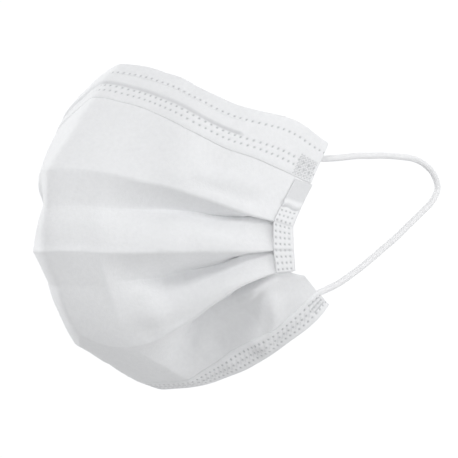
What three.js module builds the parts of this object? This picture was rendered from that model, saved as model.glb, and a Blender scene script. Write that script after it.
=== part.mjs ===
// A pleated surgical face mask in worn form, with two elastic ear loops. Lengths are millimetres.
// The origin is the middle of the top edge, on the bridge of the nose. The front faces -Y, up is +Z,
// and the wearer's left is +X. The right half is the mirror image of the left.
import * as THREE from 'three';

// Overall sizes of the opened mask
const HALF_SPREAD = 60;
const WORN_DEPTH = 50;
const WORN_HEIGHT = 118;

// Cloth
const WALL = 1.0;
const GAP = 0.3;
const PLEAT_DEPTH = 10.5;
const FLAP_STEP = 5;

// Hems, side bindings and the nose wire
const TOP_HEM = 17;
const BOTTOM_HEM = 8.5;
const BINDING_WIDTH = 7;
const WIRE_LENGTH = 110;
const WIRE_WIDTH = 4;
const WIRE_THICKNESS = 0.8;
const WIRE_FROM_TOP = 7.7;

// Length over which the wire's tunnel runs out past the wire, in columns of the mesh
const TUNNEL_RUN_OUT = 1.3;

// Ear loops and their welded ends
const CORD_DIAMETER = 2.4;
const WELD_LENGTH = 10;
const WELD_WIDTH = 5;
const WELD_THICKNESS = 1.2;
const WELD_FROM_EDGE = 5.5;
const WELD_GAP = 0.48;

// Width of a weld from its inner end to the end at the cord, as shares of WELD_WIDTH
const WELD_WIDTHS = [0.7, 1, 1, 1, 0.55];

// Distance between the middles of two layers that lie on each other
const PITCH = WALL + GAP;

// Fold lines from the top of the mask to the bottom. Each runs from the centre to the wearer's left side
// past a nose point and a cheek point that bend it. A point is [out, back, drop], in shares of
// HALF_SPREAD, WORN_DEPTH and WORN_HEIGHT.
const FOLD_LINES = {
  top: {
    centre: [0, 0, 0],
    nose: [0.47, 0.29, 0.05],
    cheek: [0.94, 0.18, 0.155],
    side: [0.967, 0.96, 0.251],
  },
  ridge1: {
    centre: [0, -0.68, 0.331],
    nose: [0.37, -0.34, 0.305],
    cheek: [0.83, 0, 0.432],
    side: [0.983, 0.57, 0.496],
  },
  ridge2: {
    centre: [0, -0.71, 0.571],
    nose: [0.33, -0.54, 0.57],
    cheek: [0.8, 0.04, 0.57],
    side: [1, 0.55, 0.568],
  },
  ridge3: {
    centre: [0, -0.39, 0.81],
    nose: [0.3, 0.12, 0.93],
    cheek: [0.8, 0.08, 0.661],
    side: [1, 0.56, 0.628],
  },
  bottom: {
    centre: [0, 0.44, 0.996],
    nose: [0.42, 0.68, 0.992],
    cheek: [1.07, 0.64, 0.814],
    side: [0.967, 0.96, 0.732],
  },
};

// Pleats. The middle layer swings about its ridge: 0 degrees hangs open, 180 is folded flat. The swing is
// given at the places in SWING_AT, shares of the way from the centre to the side binding, and the depths
// are shares of PLEAT_DEPTH.
const SWING_AT = [0, 0.38, 0.54, 0.65, 0.9, 1];
const PLEATS = [
  { ridge: 'ridge1', below: 'ridge2', depth: 1.0, sideDepth: 0.5, swing: [22, 35, 54, 66, 84, 176] },
  { ridge: 'ridge2', below: 'ridge3', depth: 1.0, sideDepth: 0.5, swing: [0, 5, 41, 66, 84, 176] },
  { ridge: 'ridge3', below: 'bottom', depth: 1.24, sideDepth: 0.5, swing: [0, 0, 5, 15, 70, 176] },
];

// Outward crown of each panel at the centre and halfway to the side, as shares of HALF_SPREAD
const CROWNS = [
  { centre: 0.01, half: 0.02 },
  { centre: 0.01, half: 0.05 },
  { centre: 0.02, half: 0.035 },
  { centre: 0.03, half: 0.05 },
];

// Shares of the half width where the crowns are full, start to fade and are gone
const CROWN_FULL = 0.4;
const CROWN_FADES = 0.66;
const CROWN_GONE = 0.86;

// Soft folds pressed into the panels. Each follows a line from one place to another, given as
// [share of the half width, share of the panel's height]. Width and rise are shares of HALF_SPREAD.
const SOFT_FOLDS = [
  { panel: 0, from: [0.58, 0.8], to: [0.8, 0.72], width: 0.07, rise: 0.02 },
  { panel: 0, from: [0.55, 0.93], to: [0.8, 0.86], width: 0.07, rise: -0.025 },
  { panel: 0, from: [0.4, 0.35], to: [0.52, 0.9], width: 0.14, rise: 0.03 },
  { panel: 2, from: [0.28, 0.7], to: [0.7, 0.75], width: 0.1, rise: 0.035 },
  { panel: 3, from: [0.84, 0.3], to: [0.55, 0.6], width: 0.09, rise: 0.03 },
];

// Shares of a panel over which its soft folds fade, at its upper fold, its lower fold and its side
const FOLD_FADE_TOP = 0.15;
const FOLD_FADE_BOTTOM = 0.12;
const FOLD_FADE_SIDE = 0.1;
const FOLDS_END = 0.9;

// Share of the half width over which the cloth turns square to the mirror plane
const SETTLE = 0.15;

// Share of the half width where the lowest panel starts to step out past the binding
const STEP_FROM = 0.8;

// How far the hidden layer of an open pleat runs toward the next fold line
const UNDER_SHARE = 0.25;

// Rows of the panel's mesh in each stretch of cloth, and its columns from the centre to a side
const ROWS_TOP_PANEL = 5;
const ROWS_MIDDLE_LAYER = 2;
const ROWS_HIDDEN = 2;
const ROWS_LOWER_PANELS = [3, 4, 4];
const ROWS_UNDER_HEM = 2;
const COLUMNS = 20;
const WIRE_COLUMNS = 12;

// How much wider the middle columns are than even ones
const COLUMN_SPREAD = 0.25;

// Steps in which a fold line's length is measured
const CURVE_DIVISIONS = 400;

// Shares between which a slope is measured
const SLOPE_STEP = 0.02;

// Least share that a mitre at a sharp fold is divided by
const MITRE_LIMIT = 0.6;

// Route of the left ear loop, chosen by hand from the photograph
const CORD_ROUTE = [
  [54.8, 44.7, -34.3],
  [55.6, 49.0, -34.5],
  [57.4, 55.0, -34.1],
  [58.4, 62.0, -33.6],
  [59.0, 70.0, -33.3],
  [59.4, 78.0, -33.2],
  [59.6, 86.0, -33.4],
  [59.6, 93.0, -34.2],
  [59.4, 99.5, -36.2],
  [59.0, 104.6, -39.6],
  [58.7, 106.6, -44.2],
  [58.5, 103.8, -49.0],
  [58.4, 98.0, -53.6],
  [58.4, 90.5, -58.4],
  [58.4, 81.5, -64.2],
  [58.2, 72.5, -70.0],
  [57.8, 63.0, -75.4],
  [56.8, 54.5, -79.6],
  [55.6, 48.0, -82.0],
  [55.3, 43.6, -82.8],
];
const CORD_STEPS = 36;
const CORD_SIDES = 8;

function smooth(value) {
  return THREE.MathUtils.smoothstep(value, 0, 1);
}

function mix(from, to, share) {
  return from.clone().lerp(to, share);
}

function along(direction, distance) {
  return direction.clone().multiplyScalar(distance);
}

function placeOf([out, back, drop]) {
  return new THREE.Vector3(out * HALF_SPREAD, back * WORN_DEPTH, -drop * WORN_HEIGHT);
}

function foldCurve({ centre, nose, cheek, side }) {
  const points = [centre, nose, cheek, side].map(placeOf);
  const curve = new THREE.CubicBezierCurve3(...points);
  curve.arcLengthDivisions = CURVE_DIVISIONS;
  return curve;
}

const curves = {};
for (const [name, line] of Object.entries(FOLD_LINES)) {
  curves[name] = foldCurve(line);
}

// Value at a share of the half width, from values given at fixed places
function tableValue(share, places, values) {
  let k = 0;
  while (k < places.length - 2 && share > places[k + 1]) {
    k += 1;
  }
  const part = (share - places[k]) / (places[k + 1] - places[k]);
  return THREE.MathUtils.lerp(values[k], values[k + 1], THREE.MathUtils.clamp(part, 0, 1));
}

// Share of the half width where the side binding starts and the pleats lie folded
function foldedFrom() {
  return 1 - BINDING_WIDTH / curves.ridge2.getLength();
}

// Direction along a fold line, turned square to the mirror plane close to the centre
function lineDirection(name, share) {
  const tangent = curves[name].getTangentAt(share);
  const settle = smooth(share / SETTLE);
  return new THREE.Vector3(tangent.x, tangent.y * settle, tangent.z * settle).normalize();
}

function inwardOf(lineWay, downWay) {
  return new THREE.Vector3().crossVectors(lineWay, downWay).normalize();
}

// One pleat at a share of the half width: both sides of its ridge fold and of its valley fold, and the
// place where the next panel passes under the ridge
function pleatAt(pleat, share, panelStart) {
  const ridge = curves[pleat.ridge].getPointAt(share);
  const next = curves[pleat.below].getPointAt(share);
  const lineWay = lineDirection(pleat.ridge, share);
  const down = next.clone().sub(ridge).normalize();
  const above = ridge.clone().sub(panelStart).normalize();
  const swing = THREE.MathUtils.degToRad(tableValue(share / foldedFrom(), SWING_AT, pleat.swing));
  const folded = smooth((swing - Math.PI / 2) / (Math.PI / 2));
  const base = mix(down, above, swing / Math.PI).normalize();
  const inward = inwardOf(lineWay, base);
  const turned = (angle) => along(base, Math.cos(angle)).add(along(inward, Math.sin(angle)));
  const foldDepth = PLEAT_DEPTH * THREE.MathUtils.lerp(pleat.depth, pleat.sideDepth, folded);
  const ridgeBack = ridge.clone().add(along(turned(swing / 2), PITCH));
  const valley = ridgeBack.clone().add(along(turned(swing), foldDepth));
  const valleyBack = valley.clone().add(along(turned(swing / 2), PITCH));
  const passed = ridge.clone().add(along(inward, 2 * PITCH)).add(along(base, WALL));
  const under = mix(mix(valleyBack, next, UNDER_SHARE), passed, folded);
  return { ridgeBack, valley, valleyBack, under, inward, lineWay, base };
}

// Outward rise of a panel at a place in it: its crown and its soft folds
function panelRise(panel, share, height, panelLength) {
  const crown = CROWNS[panel];
  const fade = 1 - smooth((share - CROWN_FADES) / (CROWN_GONE - CROWN_FADES));
  const middle = THREE.MathUtils.lerp(crown.centre, crown.half, smooth(share / CROWN_FULL));
  let rise = middle * fade * 4 * height * (1 - height) * HALF_SPREAD;
  const width = curves.ridge2.getLength();
  const heightFade = smooth(height / FOLD_FADE_TOP) * smooth((1 - height) / FOLD_FADE_BOTTOM);
  const edgeFade = heightFade * smooth((FOLDS_END - share) / FOLD_FADE_SIDE);
  for (const fold of SOFT_FOLDS.filter((entry) => entry.panel === panel)) {
    const start = new THREE.Vector2(fold.from[0] * width, fold.from[1] * panelLength);
    const end = new THREE.Vector2(fold.to[0] * width, fold.to[1] * panelLength);
    const here = new THREE.Vector2(share * width, height * panelLength);
    const line = end.clone().sub(start);
    const part = THREE.MathUtils.clamp(here.clone().sub(start).dot(line) / line.lengthSq(), 0, 1);
    const away = here.distanceTo(start.add(line.multiplyScalar(part))) / (fold.width * HALF_SPREAD);
    rise += fold.rise * HALF_SPREAD * Math.exp(-away * away) * edgeFade;
  }
  return rise;
}

// A place between two points of a panel's edges, raised outward by the panel's crown and folds
function raisedPlace(panel, share, height, start, end, lineWay) {
  const inward = inwardOf(lineWay, end.clone().sub(start).normalize());
  const inside = THREE.MathUtils.clamp(height, 0, 1);
  const rise = panelRise(panel, share, inside, start.distanceTo(end));
  return mix(start, end, height).sub(along(inward, rise));
}

// A place on a surface, moved inward by a depth square to it
function placeBelow(surface, share, height, depth) {
  const step = SLOPE_STEP;
  const before = surface(Math.max(share - step, 0), height);
  const after = surface(Math.min(share + step, 1), height);
  const settle = smooth(share / SETTLE);
  const lineWay = after.sub(before).multiply(new THREE.Vector3(1, settle, settle));
  const downWay = surface(share, height + step).sub(surface(share, height - step));
  return surface(share, height).add(along(inwardOf(lineWay, downWay), depth));
}

// The top panel's surface, by shares of the half width and of the panel's height
function topPanel(share, height) {
  const start = curves.top.getPointAt(share);
  const end = curves.ridge1.getPointAt(share);
  const lineWay = lineDirection('top', share).lerp(lineDirection('ridge1', share), height);
  return raisedPlace(0, share, height, start, end, lineWay);
}

// Heights of a panel's rows, from the fold to the free edge: evenly to the hem, then under the hem
function rowHeights(rows, hemShare) {
  const heights = [];
  for (let row = 0; row < rows; row += 1) {
    heights.push((1 - hemShare) * row / rows);
  }
  for (let row = 0; row <= ROWS_UNDER_HEM; row += 1) {
    heights.push(1 - hemShare + hemShare * row / ROWS_UNDER_HEM);
  }
  return heights;
}

function topPanelLength(share) {
  return curves.top.getPointAt(share).distanceTo(curves.ridge1.getPointAt(share));
}

// The three pleats at a share of the half width, from the top down
function pleatsAt(share) {
  const pleats = [];
  let panelStart = curves.top.getPointAt(share);
  for (const pleat of PLEATS) {
    const folds = pleatAt(pleat, share, panelStart);
    pleats.push(folds);
    panelStart = folds.under;
  }
  return pleats;
}

// Where the lowest panel steps out past the side binding
function flapCorner(share) {
  const { under, base, lineWay } = pleatsAt(share)[2];
  const step = FLAP_STEP * smooth((share - STEP_FROM) / (1 - STEP_FROM));
  return under.clone().add(along(base, WALL + GAP)).add(along(lineWay, step));
}

// The lowest panel's surface, by shares of the half width and of the panel's height
function lowestPanel(share, height) {
  const start = flapCorner(share);
  const end = curves.bottom.getPointAt(share);
  const lineWay = lineDirection('ridge3', share).lerp(lineDirection('bottom', share), height);
  return raisedPlace(3, share, height, start, end, lineWay);
}

function lowestPanelLength(share) {
  return flapCorner(share).distanceTo(curves.bottom.getPointAt(share));
}

// Middle of the pleated cloth at a share of the half width, from the top edge to the bottom edge
function clothProfile(share) {
  const points = [];
  for (const height of rowHeights(ROWS_TOP_PANEL, TOP_HEM / topPanelLength(share)).reverse()) {
    points.push(topPanel(share, 1 - height));
  }
  const ends = [curves.ridge2.getPointAt(share), curves.ridge3.getPointAt(share), null];
  pleatsAt(share).forEach((folds, index) => {
    points.push(folds.ridgeBack);
    for (let row = 1; row <= ROWS_MIDDLE_LAYER; row += 1) {
      points.push(mix(folds.ridgeBack, folds.valley, row / ROWS_MIDDLE_LAYER));
    }
    points.push(folds.valleyBack);
    for (let row = 1; row <= ROWS_HIDDEN; row += 1) {
      points.push(mix(folds.valleyBack, folds.under, row / ROWS_HIDDEN));
    }
    const rows = ROWS_LOWER_PANELS[index];
    if (ends[index] === null) {
      for (const height of rowHeights(rows, BOTTOM_HEM / lowestPanelLength(share))) {
        points.push(lowestPanel(share, height));
      }
      return;
    }
    const panelLength = folds.under.distanceTo(ends[index]);
    for (let row = 1; row <= rows; row += 1) {
      const height = row / rows;
      const rise = panelRise(index + 1, share, height, panelLength);
      points.push(mix(folds.under, ends[index], height).sub(along(folds.inward, rise)));
    }
  });
  return points;
}

// Shares of the half width, closer together towards the side, for both halves
function columnShares(columns, reach) {
  const shares = [];
  for (let column = -columns; column <= columns; column += 1) {
    const part = Math.abs(column) / columns;
    shares.push(Math.sign(column) * reach * part * (1 + COLUMN_SPREAD * (1 - part)));
  }
  return shares;
}

// A column of points on the left half or, with a share below zero, its mirror image
function mirrored(share, makePoints) {
  const points = makePoints(Math.abs(share));
  return share < 0 ? points.map((point) => new THREE.Vector3(-point.x, point.y, point.z)) : points;
}

// Direction and length that moves a grid point square to the cloth by one, mitred at the folds
function mitredNormal(grid, column, row) {
  const point = grid[column][row];
  const sides = [];
  for (const nextColumn of [column - 1, column + 1]) {
    if (grid[nextColumn] === undefined) {
      continue;
    }
    const lineWay = grid[nextColumn][row].clone().sub(point).multiplyScalar(nextColumn - column);
    for (const nextRow of [row - 1, row + 1]) {
      if (grid[column][nextRow] === undefined) {
        continue;
      }
      const downWay = grid[column][nextRow].clone().sub(point).multiplyScalar(nextRow - row);
      sides.push(new THREE.Vector3().crossVectors(lineWay, downWay).normalize());
    }
  }
  const sum = sides.reduce((total, side) => total.add(side), new THREE.Vector3()).normalize();
  const least = Math.min(...sides.map((side) => side.dot(sum)));
  return sum.divideScalar(Math.max(least, MITRE_LIMIT));
}

// Closed wall of even thickness about a grid of middle points, grid[column][row]
function clothWall(grid, thickness) {
  const columns = grid.length;
  const rows = grid[0].length;
  const positions = [];
  for (const side of [-0.5, 0.5]) {
    for (let column = 0; column < columns; column += 1) {
      for (let row = 0; row < rows; row += 1) {
        const move = mitredNormal(grid, column, row).multiplyScalar(side * thickness);
        positions.push(...grid[column][row].clone().add(move).toArray());
      }
    }
  }
  const outer = (column, row) => column * rows + row;
  const inner = (column, row) => columns * rows + column * rows + row;
  const index = [];
  const quad = (a, b, c, d) => index.push(a, b, c, a, c, d);
  for (let column = 0; column < columns - 1; column += 1) {
    for (let row = 0; row < rows - 1; row += 1) {
      const falling = grid[column][row].distanceTo(grid[column + 1][row + 1]);
      const rising = grid[column][row + 1].distanceTo(grid[column + 1][row]);
      const corners = [[column, row], [column, row + 1], [column + 1, row + 1], [column + 1, row]];
      if (rising < falling) {
        corners.push(corners.shift());
      }
      quad(...corners.map(([c, r]) => outer(c, r)));
      const first = inner(...corners[0]);
      quad(first, ...corners.slice(1).reverse().map(([c, r]) => inner(c, r)));
    }
    quad(outer(column, 0), outer(column + 1, 0), inner(column + 1, 0), inner(column, 0));
    const last = rows - 1;
    quad(outer(column, last), inner(column, last), inner(column + 1, last), outer(column + 1, last));
  }
  for (let row = 0; row < rows - 1; row += 1) {
    quad(outer(0, row), inner(0, row), inner(0, row + 1), outer(0, row + 1));
    const last = columns - 1;
    quad(outer(last, row), outer(last, row + 1), inner(last, row + 1), inner(last, row));
  }
  const geometry = new THREE.BufferGeometry();
  geometry.setAttribute('position', new THREE.Float32BufferAttribute(positions, 3));
  geometry.setIndex(index);
  geometry.computeVertexNormals();
  return geometry;
}

function panelGeometry() {
  const grid = columnShares(COLUMNS, 1).map((share) => mirrored(share, clothProfile));
  return clothWall(grid, WALL);
}

// How far the top hem stands off over the nose wire, from none to one at a share of the half width
function tunnelShare(share) {
  const width = curves.top.getLength();
  const spare = TUNNEL_RUN_OUT * width / COLUMNS;
  return 1 - smooth((share * width - WIRE_LENGTH / 2 - spare) / spare);
}

// Strip folded over the top edge, with a tunnel for the nose wire in its outer leaf
function topHemGeometry() {
  const wireTop = WIRE_FROM_TOP - WIRE_WIDTH / 2;
  const wireBottom = WIRE_FROM_TOP + WIRE_WIDTH / 2;
  const profile = (share) => {
    const lift = (WIRE_THICKNESS + GAP) * tunnelShare(share);
    const section = [
      { down: TOP_HEM, depth: PITCH },
      { down: TOP_HEM / 2, depth: PITCH },
      { down: 0, depth: PITCH },
      { down: -GAP - WALL / 2, depth: PITCH },
      { down: -GAP - WALL / 2, depth: -PITCH },
      { down: 0, depth: -PITCH },
      { down: wireTop - 2 * WALL, depth: -PITCH },
      { down: wireTop - PITCH, depth: -PITCH - lift },
      { down: wireBottom + PITCH, depth: -PITCH - lift },
      { down: wireBottom + 2 * WALL + GAP, depth: -PITCH },
      { down: TOP_HEM, depth: -PITCH },
    ];
    const length = topPanelLength(share);
    return section.map(({ down, depth }) => placeBelow(topPanel, share, down / length, depth));
  };
  return clothWall(columnShares(COLUMNS, 1).map((share) => mirrored(share, profile)).reverse(), WALL);
}

function noseWireGeometry() {
  const reach = WIRE_LENGTH / 2 / curves.top.getLength();
  const profile = (share) => {
    const depth = -(WALL / 2 + GAP + WIRE_THICKNESS / 2);
    const edges = [WIRE_FROM_TOP - WIRE_WIDTH / 2, WIRE_FROM_TOP + WIRE_WIDTH / 2];
    return edges.map((down) => placeBelow(topPanel, share, down / topPanelLength(share), depth));
  };
  return clothWall(columnShares(WIRE_COLUMNS, reach).map((share) => mirrored(share, profile)), WIRE_THICKNESS);
}

// Strip folded over the bottom edge
function bottomHemGeometry() {
  const profile = (share) => {
    const section = [
      { up: BOTTOM_HEM, depth: -PITCH },
      { up: BOTTOM_HEM / 2, depth: -PITCH },
      { up: 0, depth: -PITCH },
      { up: -GAP - WALL / 2, depth: -PITCH },
      { up: -GAP - WALL / 2, depth: PITCH },
      { up: 0, depth: PITCH },
      { up: BOTTOM_HEM / 2, depth: PITCH },
      { up: BOTTOM_HEM, depth: PITCH },
    ];
    const length = lowestPanelLength(share);
    return section.map(({ up, depth }) => placeBelow(lowestPanel, share, 1 - up / length, depth));
  };
  return clothWall(columnShares(COLUMNS, 1).map((share) => mirrored(share, profile)), WALL);
}

// Places down the side that the binding passes. The layers are those that lie between its leaves there.
const BINDING_PLACES = [
  { line: 'top', toward: 'ridge1', part: 'hem', layers: 0 },
  { line: 'top', toward: 'ridge1', part: 0.7, layers: 0.4 },
  { line: 'top', toward: 'ridge1', part: 0.84, layers: 2.5 },
  { line: 'ridge1', toward: 'ridge2', part: 0, layers: 2.8 },
  { line: 'ridge1', toward: 'ridge2', part: 0.5, layers: 3.6 },
  { line: 'ridge2', toward: 'ridge3', part: 0, layers: 3.1 },
  { line: 'ridge2', toward: 'ridge3', part: 0.5, layers: 4.2 },
  { line: 'ridge2', toward: 'ridge3', part: 1, layers: 3.8 },
];

// Strip folded round the side edge, over the ends of the pleats
function bindingGeometry(side) {
  const inner = foldedFrom();
  const grid = BINDING_PLACES.map(({ line, toward, part, layers }) => {
    const at = (share, depth, past) => {
      const start = curves[line].getPointAt(share);
      const end = curves[toward].getPointAt(share);
      const height = part === 'hem' ? (TOP_HEM + GAP) / start.distanceTo(end) : part;
      const lineWay = lineDirection(line, share).lerp(lineDirection(toward, share), height).normalize();
      const inward = inwardOf(lineWay, end.clone().sub(start).normalize());
      return mix(start, end, height).add(along(inward, depth)).add(along(lineWay, past));
    };
    const back = PITCH * (1 + layers);
    const past = GAP + WALL / 2;
    return [
      at(inner, -PITCH, 0),
      at((1 + inner) / 2, -PITCH, 0),
      at(1, -PITCH, past),
      at(1, back, past),
      at((1 + inner) / 2, back, 0),
      at(inner, back, 0),
    ].map((point) => new THREE.Vector3(side * point.x, point.y, point.z));
  });
  return clothWall(side > 0 ? grid.reverse() : grid, WALL);
}

// Flattened end of an ear loop, welded to the inner leaf of a hem
function weldGeometry(side, surface, heightAt) {
  const reach = curves.top.getLength();
  const edge = 1 - 0.5 * CORD_DIAMETER / reach;
  const depth = PITCH + WALL / 2 + WELD_GAP + WELD_THICKNESS / 2;
  const grid = [];
  WELD_WIDTHS.forEach((widthShare, column) => {
    const share = edge - (WELD_LENGTH / reach) * (1 - column / (WELD_WIDTHS.length - 1));
    const spread = WELD_WIDTH * widthShare;
    const heights = [-0.5, 0, 0.5].map((row) => heightAt(share, WELD_FROM_EDGE + row * spread));
    const points = heights.map((height) => placeBelow(surface, share, height, depth));
    grid.push(points.map((point) => new THREE.Vector3(side * point.x, point.y, point.z)));
  });
  return clothWall(side > 0 ? grid : grid.reverse(), WELD_THICKNESS);
}

function topWeldGeometry(side) {
  return weldGeometry(side, topPanel, (share, down) => down / topPanelLength(share));
}

function bottomWeldGeometry(side) {
  return weldGeometry(side, lowestPanel, (share, up) => 1 - up / lowestPanelLength(share));
}

function cordGeometry(side) {
  const points = CORD_ROUTE.map(([x, y, z]) => new THREE.Vector3(side * x, y, z));
  const section = new THREE.Shape();
  for (let corner = 0; corner < CORD_SIDES; corner += 1) {
    const angle = (2 * Math.PI * corner) / CORD_SIDES;
    const x = (CORD_DIAMETER / 2) * Math.cos(angle);
    const y = (CORD_DIAMETER / 2) * Math.sin(angle);
    if (corner === 0) {
      section.moveTo(x, y);
    } else {
      section.lineTo(x, y);
    }
  }
  section.closePath();
  const extrudePath = new THREE.CatmullRomCurve3(points, false, 'centripetal');
  return new THREE.ExtrudeGeometry(section, { steps: CORD_STEPS, extrudePath, bevelEnabled: false });
}

// Materials
const cloth = new THREE.MeshStandardMaterial({ color: 0xf2f3f5, roughness: 0.92, metalness: 0 });
const hemCloth = new THREE.MeshStandardMaterial({ color: 0xecedf0, roughness: 0.92, metalness: 0 });
const wireMetal = new THREE.MeshStandardMaterial({ color: 0xdfe1e4, roughness: 0.5, metalness: 0.6 });
const elastic = new THREE.MeshStandardMaterial({ color: 0xf4f4f4, roughness: 0.85, metalness: 0 });

function named(name, geometry, material) {
  const mesh = new THREE.Mesh(geometry, material);
  mesh.name = name;
  return mesh;
}

const mask = new THREE.Group();
mask.add(named('face_panel', panelGeometry(), cloth));
mask.add(named('top_hem', topHemGeometry(), hemCloth));
mask.add(named('nose_wire', noseWireGeometry(), wireMetal));
mask.add(named('bottom_hem', bottomHemGeometry(), hemCloth));
for (const [hand, side] of [['left', 1], ['right', -1]]) {
  mask.add(named(`side_binding_${hand}`, bindingGeometry(side), hemCloth));
  mask.add(named(`ear_loop_${hand}`, cordGeometry(side), elastic));
  mask.add(named(`loop_weld_top_${hand}`, topWeldGeometry(side), elastic));
  mask.add(named(`loop_weld_bottom_${hand}`, bottomWeldGeometry(side), elastic));
}

export default mask;
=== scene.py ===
# A pleated surgical face mask in worn form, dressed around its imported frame. Lengths in the tables and
# shape functions are millimetres. Meshes, lights and the camera's place are in metres.
import math
from functools import lru_cache

import bpy
import numpy as np
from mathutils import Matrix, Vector, noise


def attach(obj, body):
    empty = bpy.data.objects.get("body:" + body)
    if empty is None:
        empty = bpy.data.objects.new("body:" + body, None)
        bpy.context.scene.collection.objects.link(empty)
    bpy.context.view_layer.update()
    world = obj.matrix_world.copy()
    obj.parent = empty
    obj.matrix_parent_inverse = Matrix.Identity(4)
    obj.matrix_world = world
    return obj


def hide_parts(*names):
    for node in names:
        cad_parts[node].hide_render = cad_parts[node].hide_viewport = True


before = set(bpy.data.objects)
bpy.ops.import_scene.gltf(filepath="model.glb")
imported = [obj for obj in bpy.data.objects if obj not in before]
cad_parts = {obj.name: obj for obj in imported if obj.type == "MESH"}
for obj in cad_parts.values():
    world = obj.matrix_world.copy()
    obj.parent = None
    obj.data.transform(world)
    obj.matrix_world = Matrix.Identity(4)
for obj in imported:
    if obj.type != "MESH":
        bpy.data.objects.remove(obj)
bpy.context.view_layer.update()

MM = 0.001

# Overall sizes, as in the solids
HALF_SPREAD = 60.0
WORN_DEPTH = 50.0
WORN_HEIGHT = 118.0

# Cloth: its thickness, the spacing of its folded layers and the depth of a pleat
WALL = 0.4
PITCH = 0.85
PLEAT_DEPTH = 10.5

# Upper edge of the lowest panel: how far it hangs below the last pleat, how far its corner steps out
# and the share of the half width where the step begins
FLAP_DROP = 1.3
FLAP_STEP = 5.0
FLAP_STEP_FROM = 0.8

# Hems and side bands. A leaf's middle lies LEAF from the middle of the panel, and the free edge of a hem
# sinks by HEM_EDGE_DROP over its last HEM_EDGE_RUN
TOP_HEM = 17.0
BOTTOM_HEM = 8.5
BAND_WIDTH = 7.0
LEAF = 0.46
HEM_EDGE_DROP = 0.35
HEM_EDGE_RUN = 1.2

# Nose wire, and the rise of the hem over it, which runs out past its ends and sides
WIRE_LENGTH = 110.0
WIRE_WIDTH = 3.4
WIRE_THICKNESS = 0.5
WIRE_FROM_TOP = 7.7
WIRE_GAP = 0.1
WIRE_LIFT = 0.85
LIFT_PAST_END = 0.5
LIFT_END_RUN = 3.0
LIFT_SIDE_RUN = 1.2

# Fold lines from the centre past a nose point and a cheek point to the side, as [out, back, drop] in
# shares of HALF_SPREAD, WORN_DEPTH and WORN_HEIGHT
FOLD_LINES = {
    "top": ((0, 0, 0), (0.47, 0.29, 0.05), (0.94, 0.18, 0.155), (0.967, 0.96, 0.251)),
    "ridge1": ((0, -0.68, 0.331), (0.37, -0.34, 0.305), (0.83, 0, 0.432), (0.983, 0.57, 0.496)),
    "ridge2": ((0, -0.71, 0.571), (0.33, -0.54, 0.57), (0.8, 0.04, 0.57), (1, 0.55, 0.568)),
    "ridge3": ((0, -0.39, 0.81), (0.3, 0.14, 0.98), (0.8, -0.1, 0.63), (1, 0.56, 0.628)),
    "bottom": ((0, 0.44, 0.996), (0.42, 0.68, 0.992), (1.07, 0.64, 0.814), (0.967, 0.96, 0.732)),
}
CURVE_DIVISIONS = 400

# Pleats, at shares of the way to the side band. The middle layer swings about its ridge, 0 degrees
# hanging open and 180 folded flat. Depth is a share of PLEAT_DEPTH. Closed tells how far the next panel
# has come up under the ridge, and drop and recess how many millimetres below and behind the ridge it
# then starts.
PLEAT_AT = (0, 0.25, 0.38, 0.5, 0.6, 0.75, 0.88, 1)
PLEAT_KEYS = ("swing", "depth", "closed", "drop", "recess")
PLEATS = (
    {
        "ridge": "ridge1",
        "below": "ridge2",
        "swing": (2, 16, 36, 49, 57, 67, 88, 176),
        "depth": (1, 1, 1, 0.95, 0.84, 0.68, 0.5, 0.5),
        "closed": (0, 0, 0, 0, 0, 0, 0.6, 1),
        "drop": (8.6, 8.6, 8.2, 6.4, 4.8, 3.0, 0.3, 0.3),
        "recess": (5, 5, 5, 5, 4.8, 4.4, 2.2, 0),
    },
    {
        "ridge": "ridge2",
        "below": "ridge3",
        "swing": (-3, -2, 28, 52, 64, 75, 89, 176),
        "depth": (1, 1, 1.15, 1.42, 1.38, 1.0, 0.55, 0.5),
        "closed": (0, 0, 0, 0, 0, 0, 0.6, 1),
        "drop": (10, 10, 10, 9.2, 6.2, 2.6, 0.3, 0.3),
        "recess": (6, 6, 6, 6, 6, 4.4, 2.0, 0),
    },
    {
        "ridge": "ridge3",
        "below": "bottom",
        "swing": (-6, -5, 28, 68, 82, 90, 122, 176),
        "depth": (1.24, 1.24, 1.25, 1.35, 1.4, 1.2, 0.75, 0.5),
        "closed": (0, 0, 0, 0, 0, 0.2, 0.8, 1),
        "drop": (9, 9, 9, 9, 9, 9, 3, 0.4),
        "recess": (4, 4, 4, 4, 4, 4, 2, 0),
    },
)

# An open panel starts at this share of the way from the valley above it to its lower edge
UNDER_SHARE = 0.07

# Shares of the half width over which the fold lines turn level towards the centre, and over which the
# crease down the centre is rounded
SETTLE = 0.15
CENTRE_ROUND = 0.035

# Arcs at the fold corners: their reach, at most this share of the layer beside the corner
CORNER_REACH = 1.2
CORNER_SHARE = 0.46

# Crumple of all the cloth: size of its swells and how far each moves the cloth
CRUMPLE_SEED = 4
CRUMPLES = ((26.0, 0.7), (10.0, 0.35))

# Outward crown of each panel at the centre and further out, as shares of HALF_SPREAD. It has changed over
# at one share of the half width, and from another it fades over CROWN_FADE_RUN
CROWNS = ((0.01, 0.02), (0.01, 0.03), (0.015, 0.02), (0.012, 0.02))
CROWN_CHANGED = 0.4
CROWN_FADE_FROM = 0.66
CROWN_FADE_RUN = 0.2

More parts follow.
